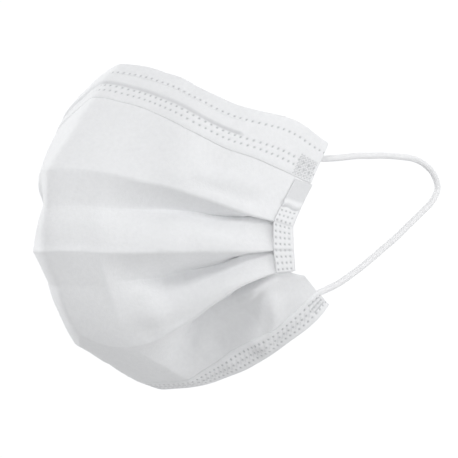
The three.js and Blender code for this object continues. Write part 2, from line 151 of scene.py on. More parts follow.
# Soft folds pressed into the panels: panel, start and end as (share of the half width, share of the
# height), width and rise as shares of HALF_SPREAD
SOFT_FOLDS = (
    (0, (0.6, 0.8), (0.78, 0.74), 0.06, 0.012),
    (0, (0.56, 0.92), (0.8, 0.86), 0.06, -0.013),
    (0, (0.4, 0.35), (0.52, 0.9), 0.14, 0.022),
    (0, (0.62, 0.3), (0.6, 0.7), 0.12, -0.012),
    (1, (0.3, 0.55), (0.12, 0.8), 0.14, -0.014),
    (1, (0.55, 0.25), (0.85, 0.5), 0.1, 0.014),
    (2, (0.34, 0.55), (0.7, 0.7), 0.08, 0.02),
    (2, (0.34, 0.82), (0.48, 0.9), 0.08, -0.015),
    (2, (0.37, 0.3), (0.38, 0.95), 0.07, 0.01),
    (3, (0.84, 0.28), (0.64, 0.78), 0.065, 0.045),
    (3, (0.8, 0.12), (0.48, 0.45), 0.09, -0.04),
    (3, (0.42, 0.2), (0.44, 0.7), 0.08, 0.015),
)

# Shares of a panel's height and of the half width over which the soft folds die away at its edges, and
# the share of the half width where they end
FOLD_FADE_ABOVE = 0.15
FOLD_FADE_BELOW = 0.12
FOLD_END = 0.9
FOLD_FADE_SIDE = 0.1

# Wave of the top edge: share of the half width, its reach, and millimetres down or up
TOP_DIP = (0.47, 0.17, 2.1)
TOP_SWELL = (0.83, 0.13, 2.2)

# Rows and columns of the meshes. LOWER_ROWS are those of the panel below each pleat
TOP_ROWS = 28
MIDDLE_ROWS = 6
HIDDEN_ROWS = 5
LOWER_ROWS = (14, 14, 20)
PANEL_COLUMNS = 120
HEM_COLUMNS = 250
HEM_ROW_STEP = 0.4
TURN_STEPS = 8
WIRE_COLUMNS = 90
WIRE_ROWS = 6

# Side of the leaves at a hem's turn, short of 1 so that the turn takes no mark of the outer leaf
TURN_SIDE = 0.999

# Welded rows of dots. A dot is fully marked near its middle and fades out at DOT_REACH radii
DOT_RADIUS = 0.47
DOT_REACH = 1.35
DOT_DEPTH = 0.3
DOT_PITCH = 2.3
TOP_HEM_ROWS = (4.2, 11.2, 13.5)
BOTTOM_DOT_PITCH = 1.95
BOTTOM_HEM_ROWS = (1.7, 4.0, 6.3)

# Painted shade along the grooves beside the nose wire, which are also pressed in a little: side of it,
# above or below, and how strong
WIRE_GROOVE_SHADE = ((-1, 0.12), (1, 0.34))
GROOVE_FROM_WIRE = 0.7
GROOVE_WIDTH = 0.45
GROOVE_END_RUN = 1.5

# Welded lines are marked where their wave passes a level, and sharpen from there
LINE_LEVEL = 0.7
LINE_SHARPNESS = 3

# Faint slanting lines about the middle row of the bottom hem
SLANT = 0.8
SLANT_MARK = 0.3
SLANT_REACH = 1.7
SLANT_FADE = 1.4

# Welded patches near the corners, by millimetres from the side and from the edge
TOP_PATCH_ALONG = (0.8, 8.5)
TOP_PATCH_DOWN = (8.6, 16.4)
TOP_PATCH_PITCH = 1.25
TOP_PATCH_LEVEL = 0.72
BOTTOM_PATCH_ALONG = (1.5, 7.0)
BOTTOM_PATCH_UP = (1.0, 7.5)
BOTTOM_PATCH_PITCH = 1.7
PATCH_MARK = 0.8

# Places down the side that a band passes: fold line, next fold line, share between them, layers inside.
# The first lies BAND_BELOW_HEM under the top hem
BAND_PLACES = (
    ("top", "ridge1", "hem", 0.0),
    ("top", "ridge1", 0.55, 0.1),
    ("top", "ridge1", 0.7, 0.6),
    ("top", "ridge1", 0.84, 2.6),
    ("ridge1", "ridge2", 0.0, 3.0),
    ("ridge1", "ridge2", 0.5, 3.8),
    ("ridge2", "ridge3", 0.0, 3.4),
    ("ridge2", "ridge3", 0.5, 4.4),
    ("ridge2", "ridge3", 1.0, 4.0),
)
BAND_BELOW_HEM = 0.2
BAND_OVERHANG = 0.5
BAND_ROW_STEP = 0.38
BAND_OUTER_STEPS = 20
BAND_TURN_STEPS = 6
BAND_INNER_STEPS = 8
BAND_ACROSS = [BAND_WIDTH * (1 - k / BAND_OUTER_STEPS) for k in range(BAND_OUTER_STEPS + 1)]
BAND_SMOOTHING = 5
SMOOTHING_WEIGHTS = (1, 2, 3, 2, 1)

# Dots of a band, in columns down it
BAND_DOT_PITCH = 2.1
BAND_DOT_COLUMNS = (1.0, 2.7, 4.4, 6.1)

# Creases across a band, at the places of these numbers, pressed in and darkened with painted shade
BAND_CREASES = (4, 6)
CREASE_WIDTH = 0.4
CREASE_DEPTH = 0.35
CREASE_SHADE = 0.35

# Ledge across a band, above its dots: the number of a place, a share of the way to it and how far back
# from there, then its wave, its rise, the further rise per millimetre across, and its reach above and
# below
LEDGE_PLACE = 3
LEDGE_SHARE = 0.93
LEDGE_BACK = 1.3
LEDGE_WAVE = 0.3
LEDGE_RISE = 0.3
LEDGE_TILT = 0.05
LEDGE_ABOVE = 1.3
LEDGE_BELOW = 0.5
DOTS_FROM_LEDGE = 2.4

# Groove below the ledge, darkened with a painted shadow line, and the end above it, which is painted
# greyer
LEDGE_GROOVE_AT = 1.1
LEDGE_GROOVE_WIDTH = 0.4
LEDGE_GROOVE_DEPTH = 0.45
LEDGE_GROOVE_SHADE = 0.5
GREYING_FROM_LEDGE = 1.0
GREYING_RUN = 1.5
END_GREYING = 0.3

# Route of the left ear loop
CORD_ROUTE = (
    (54.8, 44.7, -34.3),
    (55.6, 49.0, -34.5),
    (57.4, 55.0, -34.1),
    (58.4, 62.0, -33.6),
    (59.0, 70.0, -33.3),
    (59.4, 78.0, -33.2),
    (59.6, 86.0, -33.4),
    (59.6, 93.0, -34.2),
    (59.4, 99.5, -36.2),
    (59.0, 104.6, -39.6),
    (58.7, 106.6, -44.2),
    (58.5, 103.8, -49.0),
    (58.4, 98.0, -53.6),
    (58.4, 90.5, -58.4),
    (58.4, 81.5, -64.2),
    (58.2, 72.5, -70.0),
    (57.8, 63.0, -75.4),
    (56.8, 54.5, -79.6),
    (55.6, 48.0, -82.0),
    (55.3, 43.6, -82.8),
)
CORD_DIAMETER = 2.4
CORD_STEPS = 620
CORD_SIDES = 32
CURVE_STEPS = 24

# Knit of the cord: ribs around it and the pitch of their loops, then the core, the ribs and the loops as
# shares of the radius
CORD_RIBS = 8
CORD_LOOP_PITCH = 0.95
CORD_CORE = 0.96
CORD_RIB_RISE = 0.018
CORD_LOOP_RISE = 0.01

# Flattening of the cord towards its welds
CORD_END_FLATTENING = 0.35
CORD_END_RUN = 4.0

# Flattened ends of the ear loops, which narrow to a share of their width
WELD_LENGTH = 10.0
WELD_WIDTH = 5.0
WELD_NARROW = 0.62
WELD_TAPER = 1.1
WELD_THICKNESS = 1.0
WELD_FROM_EDGE = 5.5
WELD_GAP = 0.1
WELD_COLUMNS = 24
WELD_ROWS = 14

# Dots of the flattened ends: spacing of the mesh under them, the columns that they keep between, their
# pitch, the outer rows' distance from the middle row, and their depth
WELD_STEP_ALONG = 0.42
WELD_STEP_ACROSS = 0.36
WELD_DOTS_BETWEEN = (3, 21)
WELD_DOT_PITCH = 1.7
WELD_OUTER_ROWS = 1.5
WELD_DOT_DEPTH = 0.2

# Colours of the web, light and dark, of its welded marks, which on the hems also lay painted shade into
# creases and grooves, and of the wire
CLOTH_LIGHT = (0.895, 0.9, 0.91)
CLOTH_DARK = (0.865, 0.87, 0.88)
CLOTH_WELD_AND_SHADE = (0.5, 0.505, 0.52)
ELASTIC_LIGHT = (0.9, 0.9, 0.905)
ELASTIC_DARK = (0.85, 0.85, 0.86)
ELASTIC_WELDED = (0.62, 0.62, 0.63)
WIRE_COLOUR = (0.72, 0.73, 0.74)

# Surfaces. A grain has a fine and a coarse scale, in waves to the metre, and a strength
CLOTH_ROUGHNESS = 0.88
WELDED_ROUGHNESS = 0.45
CLOTH_GRAIN = (2600.0, 1300.0, 0.55)
WIRE_GRAIN = (900.0, 400.0, 0.2)
GRAIN_HEIGHT = 0.00012
COARSE_SHARE = 0.5
CLOUD_RANGE = (0.32, 0.68)

# Camera: its place and aim in metres, and how wide it sees at a distance, both in millimetres
CAMERA_PLACE = (0.6647, -0.6081, -0.0596)
CAMERA_AIM = (0.0283, 0.0283, -0.0596)
VIEW_WIDTH = 163.6
VIEW_DISTANCE = 900

# Soft lights, in metres and watts: name, place, aim, size and power
LIGHTS = (
    ("side light", (-1.1, -0.1, 0.3), (0.0, 0.0, -0.06), 0.6, 5.2),
    ("top light", (0.5, 0.15, 1.05), (0.02, 0.0, -0.06), 0.5, 1.6),
    ("key light", (0.45, -0.75, 0.75), (0.02, 0.0, -0.06), 0.35, 3.7),
    ("back light", (-0.25, 1.2, 0.6), (0.0, 0.05, -0.06), 0.7, 6.0),
    ("right light", (0.9, 0.45, -0.1), (0.04, 0.03, -0.06), 0.5, 2.2),
)

# Brightness of the surround by height: sine of the elevation, then strength
SURROUND = ((-1.0, 0.38), (-0.3, 0.38), (-0.13, 1.03), (0.13, 1.03), (0.3, 0.46), (1.0, 0.46))
SURROUND_COLOUR = (0.985, 0.992, 1, 1)

# Round floor, in metres
FLOOR_REACH = 1.6
FLOOR_HEIGHT = -0.3
FLOOR_SIDES = 96
FLOOR_COLOUR = (0.6, 0.6, 0.6, 1)


def clamp(value, low=0.0, high=1.0):
    return min(max(value, low), high)


def smooth(value):
    value = clamp(value)
    return value * value * (3 - 2 * value)


def blend(start, end, share):
    return start + (end - start) * share


def place_of(point):
    out, back, drop = point
    return Vector((out * HALF_SPREAD, back * WORN_DEPTH, -drop * WORN_HEIGHT))


class FoldLine:
    """A cubic curve that is read by shares of its length."""

    def __init__(self, points):
        self.points = [place_of(point) for point in points]
        places = [self.at(k / CURVE_DIVISIONS) for k in range(CURVE_DIVISIONS + 1)]
        steps = [(b - a).length for a, b in zip(places, places[1:])]
        self.run = np.concatenate(([0.0], np.cumsum(steps)))
        self.length = float(self.run[-1])
        self.point = lru_cache(None)(self.point)
        self.tangent = lru_cache(None)(self.tangent)

    def at(self, t):
        a, b, c, d = self.points
        s = 1 - t
        return a * s ** 3 + b * 3 * s * s * t + c * 3 * s * t * t + d * t ** 3

    def parameter(self, share):
        marks = np.linspace(0, 1, CURVE_DIVISIONS + 1)
        return float(np.interp(share * self.length, self.run, marks))

    def point(self, share):
        return self.at(self.parameter(share))

    def tangent(self, share):
        """The way the line runs, turned level across at the centre."""
        a, b, c, d = self.points
        t = self.parameter(share)
        s = 1 - t
        way = (b - a) * s * s + (c - b) * 2 * s * t + (d - c) * t * t
        settle = smooth(share / SETTLE)
        return Vector((way.x, way.y * settle, way.z * settle)).normalized()


noise.seed_set(CRUMPLE_SEED)
lines = {name: FoldLine(points) for name, points in FOLD_LINES.items()}
FOLDED_FROM = 1 - BAND_WIDTH / lines["ridge2"].length


def inward_of(line_way, down_way):
    return line_way.cross(down_way).normalized()


def pleat_at(pleat, share, panel_start):
    """Both sides of a pleat's ridge and valley folds, and the place where the next panel starts."""
    ridge = lines[pleat["ridge"]].point(share)
    following = lines[pleat["below"]].point(share)
    line_way = lines[pleat["ridge"]].tangent(share)
    down = (following - ridge).normalized()
    above = (ridge - panel_start).normalized()
    swing, depth, closed, drop, recess = (
        float(np.interp(share / FOLDED_FROM, PLEAT_AT, pleat[key])) for key in PLEAT_KEYS)
    swing = math.radians(swing)
    base = blend(down, above, swing / math.pi).normalized()
    inward = inward_of(line_way, base)

    def turned(angle):
        return base * math.cos(angle) + inward * math.sin(angle)

    ridge_back = ridge + turned(swing / 2) * PITCH
    valley = ridge_back + turned(swing) * depth * PLEAT_DEPTH
    valley_back = valley + turned(swing / 2) * PITCH
    passed = ridge + inward * (2 * PITCH + recess) + base * drop
    under = blend(blend(valley_back, following, UNDER_SHARE), passed, smooth(closed))
    return {"ridge_back": ridge_back, "valley": valley, "valley_back": valley_back, "under": under,
            "inward": inward, "line_way": line_way, "base": base}


@lru_cache(None)
def pleats_at(share):
    pleats = []
    panel_start = lines["top"].point(share)
    for pleat in PLEATS:
        folds = pleat_at(pleat, share, panel_start)
        pleats.append(folds)
        panel_start = folds["under"]
    return pleats


def panel_rise(panel, share, height, length):
    """Outward rise of a panel: its crown and its soft folds."""
    centre, further_out = CROWNS[panel]
    crown = blend(centre, further_out, smooth(share / CROWN_CHANGED))
    fade = 1 - smooth((share - CROWN_FADE_FROM) / CROWN_FADE_RUN)
    rise = crown * fade * 4 * height * (1 - height) * HALF_SPREAD
    width = lines["ridge2"].length
    edge = smooth(height / FOLD_FADE_ABOVE) * smooth((1 - height) / FOLD_FADE_BELOW)
    edge *= smooth((FOLD_END - share) / FOLD_FADE_SIDE)
    for fold_panel, start, end, fold_width, fold_rise in SOFT_FOLDS:
        if fold_panel != panel:
            continue
        ax, ay = start[0] * width, start[1] * length
        lx, ly = end[0] * width - ax, end[1] * length - ay
        px, py = share * width - ax, height * length - ay
        part = clamp((px * lx + py * ly) / (lx * lx + ly * ly))
        away = math.hypot(px - part * lx, py - part * ly) / (fold_width * HALF_SPREAD)
        rise += fold_rise * HALF_SPREAD * math.exp(-away * away) * edge
    return rise


def raised_place(panel, share, height, start, end, line_way):
    inward = inward_of(line_way, (end - start).normalized())
    rise = panel_rise(panel, share, clamp(height), (end - start).length)
    return blend(start, end, height) - inward * rise


def top_length(share):
    return (lines["top"].point(share) - lines["ridge1"].point(share)).length


def top_panel(share, down):
    """The top panel's middle surface, by share of the half width and millimetres down from its edge."""
    height = down / top_length(share)
    start, end = lines["top"].point(share), lines["ridge1"].point(share)
    line_way = blend(lines["top"].tangent(share), lines["ridge1"].tangent(share), height)
    return raised_place(0, share, height, start, end, line_way) + Vector((0, 0, edge_wave(share, height)))


def edge_wave(share, height):
    """Height of the top edge's own wave, which dies away towards the first pleat."""
    dip = math.exp(-((share - TOP_DIP[0]) / TOP_DIP[1]) ** 2) * TOP_DIP[2]
    swell = math.exp(-((share - TOP_SWELL[0]) / TOP_SWELL[1]) ** 2) * TOP_SWELL[2]
    return (swell - dip) * (1 - smooth(height))


@lru_cache(None)
def flap_corner(share):
    """Where the lowest panel starts."""
    folds = pleats_at(share)[2]
    step = FLAP_STEP * smooth((share - FLAP_STEP_FROM) / (1 - FLAP_STEP_FROM))
    return folds["under"] + folds["base"] * FLAP_DROP + folds["line_way"] * step


def lowest_length(share):
    return (flap_corner(share) - lines["bottom"].point(share)).length


def lowest_panel(share, up):
    """The lowest panel's middle surface, by share of the half width and millimetres up from its edge."""
    height = 1 - up / lowest_length(share)
    line_way = blend(lines["ridge3"].tangent(share), lines["bottom"].tangent(share), height)
    return raised_place(3, share, height, flap_corner(share), lines["bottom"].point(share), line_way)


def rounded(points, corners):
    """The profile with each fold corner replaced by a short arc of four points."""
    result = []
    for index, point in enumerate(points):
        if index not in corners:
            result.append(point)
            continue
        before = points[index - 1] - point
        after = points[index + 1] - point
        cut = min(CORNER_SHARE * before.length, CORNER_SHARE * after.length, CORNER_REACH)
        start = point + before.normalized() * cut
        end = point + after.normalized() * cut
        for t in (0.0, 0.33, 0.67, 1.0):
            result.append(blend(blend(start, point, t), blend(point, end, t), t))
    return result


def steps_between(start, end, rows):
    """Points in equal steps after the start, the end with them."""
    return [blend(start, end, row / rows) for row in range(1, rows + 1)]


def cloth_profile(share):
    """Middle of the pleated cloth from the top edge to the bottom edge."""
    length = top_length(share)
    points = [top_panel(share, length * row / TOP_ROWS) for row in range(TOP_ROWS + 1)]
    corners = set()
    for index, (pleat, folds) in enumerate(zip(PLEATS, pleats_at(share))):
        corners.update((len(points) - 1, len(points)))
        points.append(folds["ridge_back"])
        points += steps_between(folds["ridge_back"], folds["valley"], MIDDLE_ROWS)
        corners.update((len(points) - 1, len(points)))
        points.append(folds["valley_back"])
        points += steps_between(folds["valley_back"], folds["under"], HIDDEN_ROWS)
        rows = LOWER_ROWS[index]
        if pleat["below"] == "bottom":
            free = lowest_length(share)
            points += [lowest_panel(share, free * (1 - row / rows)) for row in range(rows + 1)]
            continue
        end = lines[pleat["below"]].point(share)
        length = (end - folds["under"]).length
        for row in range(1, rows + 1):
            height = row / rows
            rise = panel_rise(index + 1, share, height, length)
            points.append(blend(folds["under"], end, height) - folds["inward"] * rise)
    return rounded(points, corners)


def shares_across(columns, reach=1.0):
    return [reach * column / columns for column in range(-columns, columns + 1)]


def softened(share):
    """Share of the half width to build from, which rounds the crease down the centre."""
    return min(math.hypot(share, CENTRE_ROUND), 1)


def mirrored(share, points):
    side = share / softened(share)
    return [(point.x * side, point.y, point.z) for point in points]


def surface_grid(surface, shares, places):
    """Points of a surface on both halves, by share of the half width and distance from its edge."""
    columns = []
    for share in shares:
        columns.append(mirrored(share, [surface(softened(share), place) for place in places]))
    return np.array(columns)


def crumpled(grid):
    """The grid moved by a smooth field that bends neighbouring layers together."""
    flat = grid.reshape(-1, 3)
    result = np.empty_like(flat)
    for index, point in enumerate(flat):
        place = Vector(point)
        shift = sum((noise.noise_vector(place / size) * move for size, move in CRUMPLES), Vector())
        result[index] = place + shift
    return result.reshape(grid.shape)


def normals_of(grid):
    across = np.gradient(grid, axis=0)
    down = np.gradient(grid, axis=1)
    normal = np.cross(across, down)
    return normal / np.maximum(np.linalg.norm(normal, axis=2, keepdims=True), 1e-9)


def new_piece(name, vertices, faces, material, node, weld=None):
    """A visible piece that replaces one CAD node, with its welded marks and painted shade stored on its
    points.
    """
    mesh = bpy.data.meshes.new(name)
    mesh.from_pydata((np.asarray(vertices) * MM).tolist(), [], faces)
    if weld is not None:
        # The weld layer holds welded dots and painted shade lines alike
        layer = mesh.attributes.new("weld", "FLOAT", "POINT")
        layer.data.foreach_set("value", np.asarray(weld, dtype=np.float32))
    mesh.shade_smooth()
    mesh.materials.append(material)
    mesh.update()
    piece = bpy.data.objects.new(name, mesh)
    bpy.context.scene.collection.objects.link(piece)
    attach(piece, "root")
    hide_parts(node)
    return piece


def wall(grid, thickness, weld=None):
    """Closed wall about a grid of middle points, as vertices, faces and marks of welds and painted shade.
    """
    columns, rows = grid.shape[:2]
    half = normals_of(grid) * thickness / 2
    vertices = np.concatenate(((grid + half).reshape(-1, 3), (grid - half).reshape(-1, 3)))
    marks = None if weld is None else np.concatenate((weld.reshape(-1), weld.reshape(-1)))
    below = columns * rows
    faces = []
    for column in range(columns - 1):
        for row in range(rows - 1):
            a = column * rows + row
            b = a + rows
            faces.append((a, b, b + 1, a + 1))
            faces.append((below + a + 1, below + b + 1, below + b, below + a))
        a = column * rows
        b = a + rows
        faces.append((below + a, below + b, b, a))
        a += rows - 1
        b += rows - 1
        faces.append((a, b, below + b, below + a))
    for row in range(rows - 1):
        a = row
        faces.append((a, a + 1, below + a + 1, below + a))
        a += (columns - 1) * rows
        faces.append((below + a, below + a + 1, a + 1, a))
    return vertices, faces, marks


# Materials
def new_material(name):
    material = bpy.data.materials.new(name)
    material.use_nodes = True
    return material, material.node_tree.nodes, material.node_tree.links


def set_inputs(node, values):
    for socket, value in values.items():
        node.inputs[socket].default_value = value


def new_node(nodes, kind, values=None, **settings):
    """A node with its settings made first and the values of its inputs after them."""
    node = nodes.new(kind)
    for setting, value in settings.items():
        setattr(node, setting, value)
    set_inputs(node, values or {})
    return node


def add_grain(nodes, links, shader, fine, coarse, strength):
    """Bump of fine fibres over coarser bond points. Returns the coordinates that it is laid by."""
    place = new_node(nodes, "ShaderNodeTexCoord")
    fibres = new_node(nodes, "ShaderNodeTexNoise",
                      {"Scale": fine, "Detail": 6, "Roughness": 0.65, "Distortion": 0.8})
    bonds = new_node(nodes, "ShaderNodeTexVoronoi", {"Scale": coarse})
    height = new_node(nodes, "ShaderNodeMath", {1: COARSE_SHARE}, operation="MULTIPLY_ADD")
    bump = new_node(nodes, "ShaderNodeBump", {"Strength": strength, "Distance": GRAIN_HEIGHT})
    for texture in (fibres, bonds):
        links.new(place.outputs["Object"], texture.inputs["Vector"])
    links.new(bonds.outputs["Distance"], height.inputs[0])
    links.new(fibres.outputs["Fac"], height.inputs[2])
    links.new(height.outputs["Value"], bump.inputs["Height"])
    links.new(bump.outputs["Normal"], shader.inputs["Normal"])
    return place


def cloth_material(name, light, dark, weld_and_shade_colour=None):
    """Matt, slightly cloudy web. Where a colour is given for them, its welded marks and painted shade
    lines take that colour and are glossier.
    """
    material, nodes, links = new_material(name)
    shader = nodes["Principled BSDF"]
    set_inputs(shader, {"Roughness": CLOTH_ROUGHNESS, "Sheen Weight": 0.12, "Specular IOR Level": 0.25})
    place = add_grain(nodes, links, shader, *CLOTH_GRAIN)
    cloud = new_node(nodes, "ShaderNodeTexNoise", {"Scale": 700.0, "Detail": 5})
    links.new(place.outputs["Object"], cloud.inputs["Vector"])
    ramp = new_node(nodes, "ShaderNodeValToRGB")
    for element, position, colour in zip(ramp.color_ramp.elements, CLOUD_RANGE, (dark, light)):
        element.position = position
        element.color = (*colour, 1)
    links.new(cloud.outputs["Fac"], ramp.inputs["Fac"])
    if weld_and_shade_colour is None:
        links.new(ramp.outputs["Color"], shader.inputs["Base Color"])
        return material
    # The weld layer also paints shade into creases and grooves
    mark = new_node(nodes, "ShaderNodeAttribute", attribute_name="weld")
    paint = new_node(nodes, "ShaderNodeMix", {"B": (*weld_and_shade_colour, 1)}, data_type="RGBA")
    links.new(mark.outputs["Fac"], paint.inputs["Factor"])
    links.new(ramp.outputs["Color"], paint.inputs["A"])
    links.new(paint.outputs["Result"], shader.inputs["Base Color"])
    gloss = new_node(nodes, "ShaderNodeMapRange", {"To Min": CLOTH_ROUGHNESS, "To Max": WELDED_ROUGHNESS})
    links.new(mark.outputs["Fac"], gloss.inputs["Value"])
    links.new(gloss.outputs["Result"], shader.inputs["Roughness"])
    return material


def metal_material(name, colour):
    material, nodes, links = new_material(name)
    shader = nodes["Principled BSDF"]
    set_inputs(shader, {"Base Color": (*colour, 1), "Metallic": 0.8, "Roughness": 0.45})
    add_grain(nodes, links, shader, *WIRE_GRAIN)
    return material


cloth = cloth_material("nonwoven cloth", CLOTH_LIGHT, CLOTH_DARK)
hem_cloth = cloth_material("hem cloth", CLOTH_LIGHT, CLOTH_DARK, CLOTH_WELD_AND_SHADE)
elastic = cloth_material("elastic", ELASTIC_LIGHT, ELASTIC_DARK, ELASTIC_WELDED)
wire_metal = metal_material("nose wire", WIRE_COLOUR)


# Welded marks and painted shade lines, as shares from 0 to 1 at a place given in millimetres
def dot_row(along, across, row, pitch=DOT_PITCH, phase=0.0):
    nearest = (round(along / pitch - phase) + phase) * pitch
    away = math.hypot(along - nearest, across - row) / DOT_RADIUS
    return smooth(DOT_REACH - away)


def dot_rows(along, across, rows, pitch):
    """Rows of dots, every other one moved on by half a pitch."""
    return max(dot_row(along, across, row, pitch, 0.5 * (k % 2)) for k, row in enumerate(rows))


def weld_lines(distance, pitch, level=LINE_LEVEL):
    return smooth(LINE_SHARPNESS * (abs(math.sin(distance * math.pi / pitch)) - level))


def within(value, limits):
    return limits[0] < value < limits[1]


def top_hem_weld_and_shade(along, down, length):
    mark = dot_rows(along, down, TOP_HEM_ROWS, DOT_PITCH)
    beside_wire = 1 - smooth((along - WIRE_LENGTH / 2) / GROOVE_END_RUN)
    # Painted shade along the grooves above and below the nose wire
    for groove, strength in WIRE_GROOVE_SHADE:
        away = (down - WIRE_FROM_TOP - groove * (WIRE_WIDTH / 2 + GROOVE_FROM_WIRE)) / GROOVE_WIDTH
        mark = max(mark, strength * beside_wire * math.exp(-away * away))
    if within(length - along, TOP_PATCH_ALONG) and within(down, TOP_PATCH_DOWN):
        for slanting in (along + down, along - down):
            mark = max(mark, weld_lines(slanting, TOP_PATCH_PITCH, TOP_PATCH_LEVEL) * PATCH_MARK)
    return mark


def bottom_hem_weld(along, up, length):
    mark = dot_rows(along, up, BOTTOM_HEM_ROWS, BOTTOM_DOT_PITCH)
    near_middle = smooth(SLANT_FADE * (SLANT_REACH - abs(up - BOTTOM_HEM_ROWS[1])))
    mark = max(mark, SLANT_MARK * weld_lines(along - SLANT * up, BOTTOM_DOT_PITCH) * near_middle)
    if within(length - along, BOTTOM_PATCH_ALONG) and within(up, BOTTOM_PATCH_UP):
        mark = max(mark, weld_lines(up, BOTTOM_PATCH_PITCH) * PATCH_MARK)
    return mark


# Pieces
def wire_lift(share, down):
    """Rise of the hem's outer leaf over the nose wire."""
    past_end = lines["top"].length * share - WIRE_LENGTH / 2
    ends = 1 - smooth((past_end - LIFT_PAST_END) / LIFT_END_RUN)
    sides = 1 - smooth((abs(down - WIRE_FROM_TOP) - WIRE_WIDTH / 2) / LIFT_SIDE_RUN)
    return WIRE_LIFT * ends * sides


def no_lift(share, up):
    return 0.0


def hem_grid(surface, length, section, lift, weld, turn=1):
    """Grid and marks of a folded strip, welded ones and painted shade. The section lists (distance from
    the edge, side), side -1 outside, and turn is -1 where the distances run up from the edge."""
    shares = shares_across(HEM_COLUMNS)
    places = sorted({distance for distance, _ in section})
    base = surface_grid(surface, shares, places)
    normal = normals_of(base) * turn
    row_of = {place: index for index, place in enumerate(places)}
    grid = np.empty((len(shares), len(section), 3))
    marks = np.zeros((len(shares), len(section)))
    for row, (distance, side) in enumerate(section):
        at = row_of[distance]
        for column, share in enumerate(shares):
            depth = side * LEAF
            if side <= -1:
                mark = weld(abs(share) * length, distance, length)
                depth -= lift(softened(share), distance)
                depth += HEM_EDGE_DROP * smooth(1 - (section[-1][0] - distance) / HEM_EDGE_RUN)
                depth += mark * DOT_DEPTH
                marks[column, row] = mark
            grid[column, row] = base[column, at] + normal[column, at] * depth
    return grid, marks


def fold_section(width):
    """Section of a strip folded over an edge: inner leaf, the turn, then the outer leaf."""
    section = [(width * (1 - k / TURN_STEPS), 1.0) for k in range(TURN_STEPS)]
    for k in range(TURN_STEPS + 1):
        angle = math.pi / 2 - math.pi * k / TURN_STEPS
        section.append((round(-LEAF * math.cos(angle), 4), math.sin(angle) * TURN_SIDE))
    rows = round(width / HEM_ROW_STEP)
    section += [(width * k / rows, -1.0) for k in range(1, rows + 1)]
    return section


def add_panel():
    shares = shares_across(PANEL_COLUMNS)
    grid = np.array([mirrored(share, cloth_profile(softened(share))) for share in shares])
    vertices, faces, _ = wall(crumpled(grid), WALL)
    return new_piece("pleated_cloth", vertices, faces, cloth, "face_panel")


def add_top_hem():
    section = fold_section(TOP_HEM)
    grid, marks = hem_grid(top_panel, lines["top"].length, section, wire_lift, top_hem_weld_and_shade)
    vertices, faces, weld = wall(crumpled(grid), WALL, marks)
    return new_piece("top_hem_strip", vertices, faces, hem_cloth, "top_hem", weld)


def add_bottom_hem():
    section = fold_section(BOTTOM_HEM)
    grid, marks = hem_grid(lowest_panel, lines["bottom"].length, section, no_lift, bottom_hem_weld, -1)
    # The rows run up from the edge here, so the columns are turned round to keep the faces outward
    grid, marks = grid[::-1], marks[::-1]
    vertices, faces, weld = wall(crumpled(grid), WALL, marks)
    return new_piece("bottom_hem_strip", vertices, faces, hem_cloth, "bottom_hem", weld)


def add_nose_wire():
    shares = shares_across(WIRE_COLUMNS, WIRE_LENGTH / 2 / lines["top"].length)
    places = [WIRE_FROM_TOP + WIRE_WIDTH * (k / WIRE_ROWS - 0.5) for k in range(WIRE_ROWS + 1)]
    base = surface_grid(top_panel, shares, places)
    grid = base - normals_of(base) * (WALL / 2 + WIRE_GAP + WIRE_THICKNESS / 2)
    vertices, faces, _ = wall(crumpled(grid), WIRE_THICKNESS)
    return new_piece("nose_wire_strip", vertices, faces, wire_metal, "nose_wire")


def band_point(place, across, outside):
    """Point of a band's outer or inner leaf, by millimetres in from the side of the panel."""
    line, toward, part, layers = place
    share = min(1 - across / lines["ridge2"].length, 1)
    start = lines[line].point(share)
    end = lines[toward].point(share)
    height = (TOP_HEM + BAND_BELOW_HEM) / (end - start).length if part == "hem" else part
    line_way = blend(lines[line].tangent(1), lines[toward].tangent(1), height).normalized()
    inward = inward_of(line_way, (end - start).normalized())
    depth = -LEAF if outside else PITCH * (1 + layers)
    return blend(start, end, height) + inward * depth + line_way * max(-across, 0)


def band_grid():
    """Middle of the left band without its relief, how far down it each row is, and each place."""
    sections = []
    for place in BAND_PLACES:
        points = [band_point(place, across, True) for across in BAND_ACROSS]
        front = band_point(place, -BAND_OVERHANG, True)
        back = band_point(place, -BAND_OVERHANG, False)
        points += [blend(front, back, k / BAND_TURN_STEPS) for k in range(BAND_TURN_STEPS + 1)]
        inner = [BAND_WIDTH * k / BAND_INNER_STEPS for k in range(BAND_INNER_STEPS + 1)]
        points += [band_point(place, across, False) for across in inner]
        sections.append([tuple(point) for point in points])
    sections = np.array(sections)
    steps = np.linalg.norm(np.diff(sections[:, BAND_OUTER_STEPS // 2], axis=0), axis=1)
    places_at = np.concatenate(([0.0], np.cumsum(steps)))
    rows_at = np.linspace(0, places_at[-1], round(places_at[-1] / BAND_ROW_STEP) + 1)
    grid = np.empty((len(rows_at), sections.shape[1], 3))
    for axis in range(3):
        for column in range(sections.shape[1]):
            grid[:, column, axis] = np.interp(rows_at, places_at, sections[:, column, axis])
    kernel = np.array(SMOOTHING_WEIGHTS) / sum(SMOOTHING_WEIGHTS)
    for _ in range(BAND_SMOOTHING):
        padded = np.concatenate((2 * grid[:1] - grid[2:0:-1], grid, 2 * grid[-1:] - grid[-2:-4:-1]))
        grid = sum(weight * padded[k:k + len(grid)] for k, weight in enumerate(kernel))
    return grid, rows_at, places_at


